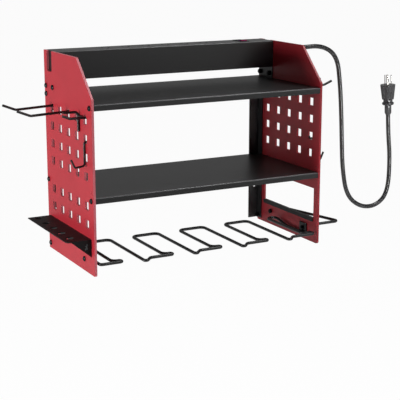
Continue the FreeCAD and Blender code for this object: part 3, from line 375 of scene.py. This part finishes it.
def smooth(obj: bpy.types.Object, degrees: float = 35.0) -> None:
    """Shade an object smooth except at sharp edges, its normals led by the large faces.

    Args:
        obj: the object.
        degrees: edges that turn by more than this stay sharp.
    """
    pick_only(obj)
    bpy.ops.object.shade_smooth_by_angle(angle=math.radians(degrees))
    apply_modifier(obj, "WEIGHTED_NORMAL", keep_sharp=True, weight=80)


def finish_piece(obj: bpy.types.Object, name: str, finish: Finish, nodes: Sequence[str] = (),
                 body: str = ROOT) -> bpy.types.Object:
    """Name, dress and mount a finished piece.

    Args:
        obj: the piece, at the origin with its place in its mesh.
        name: its name in the table of pieces.
        finish: the finish it wears.
        nodes: CAD nodes that it stands for.
        body: the CAD body that it rides on.

    Returns:
        The same object.
    """
    obj.name = name
    obj.data.name = name
    paints.dress(obj, finish)
    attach(obj, body)
    if nodes:
        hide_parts(*nodes)
    log.info("%s: %d faces", name, len(obj.data.polygons) if obj.type == "MESH" else 0)
    return obj


def merged_copy(node: str) -> bpy.types.Object:
    """Copy a CAD node as one closed mesh with its flat faces rejoined.

    Args:
        node: the CAD node's name.

    Returns:
        The copy, at the origin.
    """
    pick_only(frame["nodes"][node])
    bpy.ops.object.duplicate()
    copy = bpy.context.view_layer.objects.active
    copy.parent = None
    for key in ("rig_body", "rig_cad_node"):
        if key in copy:
            del copy[key]
    bpy.ops.object.mode_set(mode="EDIT")
    bpy.ops.mesh.select_all(action="SELECT")
    bpy.ops.mesh.customdata_custom_splitnormals_clear()
    bpy.ops.mesh.remove_doubles(threshold=SAME_POINT)
    bpy.ops.mesh.dissolve_limited(angle_limit=SAME_PLANE)
    bpy.ops.object.mode_set(mode="OBJECT")
    return copy


def round_fold(obj: bpy.types.Object, chosen: Callable[[Vector, Vector], bool], radius: float,
               segments: int = 4) -> None:
    """Round the edges that a test picks, as a folded sheet's outer bend is round.

    Args:
        obj: the piece.
        chosen: takes an edge's two ends and says whether it is rounded.
        radius: the bend's outer radius.
        segments: flats round the bend.
    """
    pick_only(obj)
    bpy.ops.object.mode_set(mode="EDIT")
    bpy.ops.mesh.select_mode(type="EDGE")
    bpy.ops.mesh.select_all(action="DESELECT")
    bpy.ops.object.mode_set(mode="OBJECT")
    for edge in obj.data.edges:
        a, b = (obj.data.vertices[i].co for i in edge.vertices)
        edge.select = chosen(a, b)
    bpy.ops.object.mode_set(mode="EDIT")
    bpy.ops.mesh.bevel(offset=radius, offset_type="OFFSET", segments=segments, affect="EDGES", clamp_overlap=True)
    # The new bend faces take the second slot, the lighter colour painted along the bend as a highlight.
    if len(obj.data.materials) > 1:
        obj.active_material_index = 1
        bpy.ops.object.material_slot_assign()
    bpy.ops.object.mode_set(mode="OBJECT")


def lies_at(a: Vector, b: Vector, axis: str, value: float) -> bool:
    """Say whether both ends of an edge lie at one value along an axis."""
    return all(abs(getattr(point, axis) - value) < TOUCH for point in (a, b))


def softened(node: str, width: float, finish: Finish,
             folds: Sequence[tuple[Callable[[Vector, Vector], bool], float]] = (), sharpest: float = 40.0,
             painted_highlight: Optional[Finish] = None, cut: Optional[Callable[[Vector], bool]] = None) -> bpy.types.Object:
    """Stand a copy with softened edges in for a CAD node.

    Args:
        node: the CAD node's name.
        width: how far each plain edge is broken, in metres.
        finish: the finish it wears.
        folds: tests for edges that are rounded further, each with its radius.
        sharpest: edges that turn by more than this are broken, in degrees.
        painted_highlight: a lighter finish painted along its folds and cut edges as a highlight, if any.
        cut: takes a face's normal and says whether the face is a cut edge that takes the painted highlight.

    Returns:
        The finished piece.
    """
    copy = merged_copy(node)
    # The second slot holds a lighter colour painted on folds and cut edges as a highlight.
    if painted_highlight:
        paints.dress(copy, finish, painted_highlight)
    for face in copy.data.polygons if cut else ():
        face.material_index = int(cut(face.normal))
    for chosen, radius in folds:
        round_fold(copy, chosen, radius)
    break_edges(copy, width, 2, sharpest)
    smooth(copy)
    return finish_piece(copy, f"{node}_finished", finish, [node])


def turned(rings: Sequence[tuple[float, float]]) -> bpy.types.Object:
    """Turn a closed piece about Z from its rings.

    Args:
        rings: radius and height of each ring, from the bottom up.

    Returns:
        The piece, its first ring's centre at the origin.
    """
    radius, height = rings[0]
    bpy.ops.mesh.primitive_circle_add(vertices=SIDES, radius=radius, fill_type="NGON", enter_editmode=True)
    bpy.ops.mesh.flip_normals()
    for wide, high in rings[1:]:
        bpy.ops.mesh.extrude_region_move(TRANSFORM_OT_translate={"value": (0.0, 0.0, high - height)})
        bpy.ops.transform.resize(value=(wide / radius, wide / radius, 1.0), center_override=(0.0, 0.0, 0.0))
        radius, height = wide, high
    bpy.ops.mesh.select_all(action="SELECT")
    bpy.ops.mesh.normals_make_consistent(inside=False)
    bpy.ops.object.mode_set(mode="OBJECT")
    return bpy.context.active_object


def draw_in(obj: bpy.types.Object, chosen: Callable[[Vector], bool], share: float) -> None:
    """Draw some corners of a turned piece in toward its axis.

    Args:
        obj: the piece, turned about Z through the origin.
        chosen: takes a corner and says whether it moves.
        share: how much of its distance from the axis it keeps.
    """
    pick_only(obj)
    bpy.ops.object.mode_set(mode="EDIT")
    bpy.ops.mesh.select_mode(type="VERT")
    bpy.ops.mesh.select_all(action="DESELECT")
    bpy.ops.object.mode_set(mode="OBJECT")
    for vertex in obj.data.vertices:
        vertex.select = chosen(vertex.co)
    bpy.ops.object.mode_set(mode="EDIT")
    bpy.ops.transform.resize(value=(share, share, 1.0), center_override=(0.0, 0.0, 0.0))
    bpy.ops.object.mode_set(mode="OBJECT")


@dataclass
class SidePanels:
    """The two red sheet-steel sides with their grids of square hook holes."""

    edge: float = 0.35 * MM

    def build(self) -> None:
        """Break the panels' edges and coat them, with a pale highlight painted over the left one's cut edges."""
        # Only the left panel's cut edges take the painted highlight.
        softened("side_panel_left", self.edge, RED_COAT, painted_highlight=PAINTED_HIGHLIGHT_RED,
                 cut=lambda normal: abs(normal.x) < 0.5)
        softened("side_panel_right", self.edge, RED_COAT)


@dataclass
class Shelves:
    """The two folded shelves and the steel angles that carry the organizer on the wall."""

    edge: float = 0.25 * MM
    bend: float = 1.9 * MM

    def build(self) -> None:
        """Round the shelves' front bends with a highlight painted along them, and coat shelves and angles."""
        for node in ("top_shelf", "lower_shelf"):
            low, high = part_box(node)

            def front_bend(a: Vector, b: Vector, front: float = low.y, top: float = high.z) -> bool:
                return lies_at(a, b, "y", front) and lies_at(a, b, "z", top)

            softened(node, self.edge, BLACK_COAT, [(front_bend, self.bend)], painted_highlight=PAINTED_HIGHLIGHT_BLACK)
        for side in Side:
            softened(f"wall_angle_{side.name.lower()}", self.edge, BLACK_COAT)


@dataclass
class SocketStrip:
    """The socket strip along the top: its housing, ends, base, outlets and contacts."""

    edge: float = 0.25 * MM
    bend: float = 1.4 * MM
    outlets: int = 6

    def build(self) -> None:
        """Round the housing's long bends with a highlight painted along them, and finish each piece of the strip.
        """
        low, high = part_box("strip_housing")

        def long_bend(a: Vector, b: Vector) -> bool:
            return lies_at(a, b, "z", high.z) and (lies_at(a, b, "y", low.y) or lies_at(a, b, "y", high.y))

        softened("strip_housing", self.edge, STRIP_PAINT, [(long_bend, self.bend)],
                 painted_highlight=PAINTED_HIGHLIGHT_BLACK)
        for node in ("strip_base", "strip_end_left", "strip_end_right"):
            softened(node, self.edge, STRIP_PAINT)
        for i in range(self.outlets):
            softened(f"outlet_block_{i + 1}", self.edge, BLACK_ABS)
        for node in ("contact_bar_rear", "contact_bar_front", "contact_bar_ground"):
            softened(node, self.edge, STAMPED_BRASS)
        softened("switch_tabs", self.edge / 2, STAMPED_BRASS)


@dataclass
class WireWork:
    """The bent wires: drill rack, hooks and hammer rail."""

    end: float = 0.6 * MM

    def build(self) -> None:
        """Smooth each wire, break its cut ends and coat it."""
        wires = ["drill_rack", "hammer_rail", "short_hook_left", "drop_hook_left", "drop_hook_right"]
        wires += [f"long_hook_{side.name.lower()}_{place}" for side in Side for place in ("front", "rear")]
        for node in wires:
            softened(node, self.end, WIRE_COAT, sharpest=60.0)


@dataclass
class SideRacks:
    """The screwdriver rack, the rack plates and the window's rubber edging."""

    edge: float = 0.25 * MM
    rubber_edge: float = 0.6 * MM

    def build(self) -> None:
        """Break the plates' edges and finish them."""
        softened("screwdriver_rack", self.edge, DULL_BLACK_COAT)
        for node in ("drill_rack_plates", "hammer_rail_plates"):
            softened(node, self.edge, BLACK_COAT)
        softened("window_sill", self.rubber_edge, EDGE_RUBBER)


@dataclass
class Fasteners:
    """Button screws and hexagon nuts."""

    edge: float = 0.2 * MM

    def build(self) -> None:
        """Soften the screw heads and nuts and plate them."""
        for node in ("frame_screws", "driver_rack_screws", "rail_screw"):
            softened(node, self.edge, BLACK_ZINC, sharpest=20.0)
        for node in ("frame_nuts", "driver_rack_nuts", "rail_nut"):
            softened(node, self.edge, BLACK_ZINC)


@dataclass
class Switch:
    """The rocker switch: its housing with a well, and the red rocker."""

    edge: float = 0.4 * MM

    def build(self) -> None:
        """Soften the housing and the rocker and give each its plastic."""
        softened("switch_housing", self.edge, BLACK_ABS)
        copy = merged_copy("switch_rocker")
        break_edges(copy, self.edge, 3, 30.0)
        smooth(copy)
        finish_piece(copy, "switch_rocker_finished", RED_ACRYLIC, ["switch_rocker"], body="rocker")


@dataclass
class CordSet:
    """The power cord with its strain relief, plug and blades."""

    plane: float = -25.5 * MM
    top: float = 203.0 * MM
    bore: float = 9.0 * MM
    length: float = 0.716
    panel_face: float = 221.0 * MM
    edge: float = 0.3 * MM
    flange: float = 8.5 * MM
    flange_corner: float = 1.6 * MM
    stem: float = 6.0 * MM
    boot: float = 8.0 * MM
    tip: float = 5.4 * MM
    ribs: int = 5
    rib_depth: float = 1.7 * MM
    rib_slope: float = 0.2
    tip_depth: float = 0.4
    plug_lean: float = math.radians(-3.2)
    plug_turn: float = math.radians(-42.0)
    plug_edge: float = 0.7 * MM
    grip: tuple[float, float] = (33.5, 63.5)
    flutes: int = 8
    flute_bed: float = 0.85
    flute_side: float = 0.875
    plug_rings: tuple[tuple[float, float], ...] = (
        (4.5, 0.0), (7.0, 5.0), (7.0, 21.5), (11.4, 21.7), (12.25, 24.0), (12.25, 26.0), (9.6, 27.4),
        (9.5, 32.6), (12.0, 33.2), (12.4, 34.6), (15.5, 62.0), (15.75, 64.0),
    )
    turns: tuple[tuple[float, float], ...] = (
        (256.5, -19.5),
        (300.0, -19.5),
        (351.2, -17.4),
        (387.7, -40.6),
        (396.7, -96.6),
        (402.0, -158.9),
        (405.2, -217.9),
        (408.7, -272.8),
        (421.0, -331.9),
        (456.9, -360.9),
        (498.2, -362.9),
        (527.7, -337.3),
        (529.9, -262.8),
        (522.8, -208.9),
        (520.6, -170.0),
    )

    def cord(self) -> bpy.types.Object:
        """Lay the cord along its control points as one smooth spline."""
        curve = bpy.data.curves.new("power_cord_line", "CURVE")
        curve.dimensions = "3D"
        spline = curve.splines.new("NURBS")
        spline.points.add(len(self.turns) - 1)
        for point, (x, z) in zip(spline.points, self.turns):
            point.co = (x * MM, self.plane, self.top + z * MM, 1.0)
        spline.order_u = 3
        spline.use_endpoint_u = True
        spline.resolution_u = 16
        curve.bevel_depth = self.bore / 2
        curve.bevel_resolution = 6
        curve.use_fill_caps = True
        obj = bpy.data.objects.new("power_cord_finished", curve)
        bpy.context.scene.collection.objects.link(obj)
        paints.dress(obj, BLACK_PVC)
        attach(obj, ROOT)
        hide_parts("power_cord")
        return obj

    def relief(self) -> bpy.types.Object:
        """Model the strain relief: a square flange, a ribbed boot and a plain round stem."""
        low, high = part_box("strain_relief")
        start, end = self.panel_face, high.x
        bands = self.ribs * 2
        step = (end - start - self.flange) / bands
        slope = step * self.rib_slope
        rings = [(self.stem, low.x - start), (self.stem, 0.0), (self.boot, 0.0), (self.boot, self.flange)]
        for i in range(bands):
            share = 1 - (i + 1) / bands
            wide = self.tip + (self.boot - self.tip) * share
            if i % 2 == 0:
                wide -= self.rib_depth * (self.tip_depth + (1 - self.tip_depth) * share)
            rings += [(wide, self.flange + step * i + slope), (wide, self.flange + step * (i + 1) - slope)]
        piece = turned(rings)
        bpy.ops.mesh.primitive_cube_add(size=1.0, location=(0.0, 0.0, self.flange / 2))
        block = bpy.context.active_object
        block.scale = (high.y - low.y, high.z - low.z, self.flange)
        place_in_mesh(block)
        break_edges(block, self.flange_corner, 4, 40.0)
        apply_modifier(piece, "BOOLEAN", operation="UNION", object=block, solver="EXACT")
        bpy.data.objects.remove(block)
        piece.rotation_euler = (0.0, math.pi / 2, 0.0)
        piece.location = (start, self.plane, (low.z + high.z) / 2)
        place_in_mesh(piece)
        break_edges(piece, self.edge, 2, 40.0)
        smooth(piece)
        return finish_piece(piece, "strain_relief_finished", BLACK_ABS, ["strain_relief"])

    def plug(self) -> bpy.types.Object:
        """Model the plug: a neck, a finger flange and a fluted grip that widens to its face."""
        piece = turned([(wide * MM, high * MM) for wide, high in self.plug_rings])
        foot, face = self.grip[0] * MM, self.grip[1] * MM
        pitch = SIDES // self.flutes

        def steps_from_bed(corner: Vector) -> Optional[int]:
            """Count the corners from a flute's bed, or none outside the grip."""
            number = round(math.atan2(corner.y, corner.x) / math.tau * SIDES) % SIDES
            return abs(number % pitch - pitch // 2) if foot < corner.z < face else None

        draw_in(piece, lambda corner: steps_from_bed(corner) == 0, self.flute_bed)
        draw_in(piece, lambda corner: steps_from_bed(corner) == 1, self.flute_side)
        break_edges(piece, self.plug_edge, 3, 50.0)
        lean, turn = Matrix.Rotation(self.plug_lean, 3, "Y"), Matrix.Rotation(self.plug_turn, 3, "Z")
        piece.rotation_euler = (lean @ turn).to_euler()
        x, z = self.turns[-1]
        piece.location = (x * MM, self.plane, self.top + z * MM)
        place_in_mesh(piece)
        smooth(piece, 45.0)
        return finish_piece(piece, "plug_body_finished", GLOSSY_PVC, ["plug_body"])

    def build(self) -> None:
        """Build the cord and the pieces on it."""
        cord = self.cord()
        relief = self.relief()
        softened("gland_nut", self.edge, BLACK_ABS)
        body = self.plug()
        blades = softened("plug_blades", self.edge, NICKEL_BRASS)
        pin = softened("plug_ground_pin", self.edge, NICKEL_BRASS)


@dataclass(frozen=True)
class Softbox:
    """One square lamp that faces a point, with its spread in degrees."""

    name: str
    power: float
    size: float
    place: tuple[float, float, float]
    target: tuple[float, float, float] = (0.0, -0.1, 0.03)
    spread: float = 180.0

    def hang(self) -> None:
        """Put the lamp in the scene."""
        light = bpy.data.lights.new(self.name, "AREA")
        light.energy = self.power
        light.size = self.size
        light.spread = math.radians(self.spread)
        obj = bpy.data.objects.new(self.name, light)
        obj.location = self.place
        obj.rotation_euler = (Vector(self.target) - Vector(self.place)).to_track_quat("-Z", "Y").to_euler()
        bpy.context.scene.collection.objects.link(obj)


@dataclass
class Studio:
    """Floor, backdrop, lamps and camera."""

    floor_drop: float = 0.6
    floor_share: float = 0.93
    room: float = 60.0
    sheet_grey: float = 0.9
    sheet_glow: float = 1.03
    mirrored_share: float = 0.26
    air_light: float = 0.1
    lamps: tuple[Softbox, ...] = (
        Softbox("key", 47.0, 0.45, (-2.5, -0.12, 0.12)),
        Softbox("front", 11.5, 0.9, (1.3, -2.6, 0.7)),
        Softbox("top", 22.0, 0.7, (1.05, -0.55, 2.1)),
        Softbox("low", 0.32, 0.35, (0.35, -1.95, -0.3), (0.5, 0.0, 0.02), 22.0),
    )
    eye: tuple[float, float, float] = (-0.9192, -1.8986, 0.4087)
    pitch: float = 13.49
    yaw: float = 27.97
    lens: float = 101.27
    sensor: float = 36.0

    def pale(self, name: str, strength: float) -> bpy.types.Material:
        """Make a pale surface that the camera and reflections see as white.

        Args:
            name: the material's name.
            strength: how much of its own white it shows to the camera.

        Returns:
            The material.
        """
        material = bpy.data.materials.new(name)
        material.use_nodes = True
        tree = material.node_tree
        tree.nodes.clear()
        grey = self.sheet_grey
        paint = add_node(tree, "ShaderNodeBsdfDiffuse", {"Color": (grey, grey, grey, 1.0)})
        white = add_node(tree, "ShaderNodeEmission", {"Strength": self.sheet_glow})
        ray = add_node(tree, "ShaderNodeLightPath")
        mirrored = add_node(tree, "ShaderNodeMath", {"operation": "MULTIPLY", 1: self.mirrored_share},
                            {0: ray.outputs["Is Glossy Ray"]})
        seen = add_node(tree, "ShaderNodeMath", {"operation": "MAXIMUM"},
                        {0: ray.outputs["Is Camera Ray"], 1: mirrored.outputs[0]})
        share = add_node(tree, "ShaderNodeMath", {"operation": "MULTIPLY", 1: strength}, {0: seen.outputs[0]})
        both = add_node(tree, "ShaderNodeMixShader", None,
                        {0: share.outputs[0], 1: paint.outputs[0], 2: white.outputs[0]})
        add_node(tree, "ShaderNodeOutputMaterial", None, {"Surface": both.outputs[0]})
        return material

    def sheet(self, name: str, size: float, location: tuple[float, float, float],
              turn: tuple[float, float, float], strength: float) -> None:
        """Stand one large plain sheet in the studio."""
        bpy.ops.mesh.primitive_plane_add(size=size, location=location, rotation=turn)
        obj = bpy.context.active_object
        obj.name = name
        obj.data.materials.append(self.pale(f"{name} paint", strength))
        place_in_mesh(obj)

    def air(self) -> None:
        """Fill the room with a weak light that the camera sees as white."""
        world = bpy.data.worlds.new("studio")
        bpy.context.scene.world = world
        world.use_nodes = True
        tree = world.node_tree
        glow = tree.nodes["Background"]
        glow.inputs["Color"].default_value = (1.0, 1.0, 1.0, 1.0)
        ray = add_node(tree, "ShaderNodeLightPath")
        seen = add_node(tree, "ShaderNodeMapRange", {"To Min": self.air_light},
                        {"Value": ray.outputs["Is Camera Ray"]})
        tree.links.new(seen.outputs[0], glow.inputs["Strength"])

    def build(self) -> None:
        """Set up the room, the lamps and the camera."""
        floor = CAD_BOX[0][2] - self.floor_drop
        self.sheet("floor", self.room, (0.0, 0.0, floor), (0.0, 0.0, 0.0), self.floor_share)
        self.sheet("backdrop", self.room, (0.0, self.room / 2, 0.0), (math.pi / 2, 0.0, 0.0), 1.0)
        for lamp in self.lamps:
            lamp.hang()
        self.air()
        camera = bpy.data.cameras.new("camera")
        camera.lens = self.lens
        camera.sensor_width = self.sensor
        view = bpy.data.objects.new("camera", camera)
        view.location = self.eye
        view.rotation_euler = Euler((math.radians(90 - self.pitch), 0.0, math.radians(-self.yaw)))
        bpy.context.scene.collection.objects.link(view)
        bpy.context.scene.camera = view
        bpy.context.scene.view_settings.view_transform = "Standard"


def main() -> None:
    """Build every sub-assembly in order and report each."""
    parts = (Studio(), CordSet(), SidePanels(), Shelves(), SocketStrip(), Switch(), WireWork(), SideRacks(),
             Fasteners())
    for part in parts:
        part.build()
        log.info("%s built", type(part).__name__)


if __name__ == "__main__":
    main()
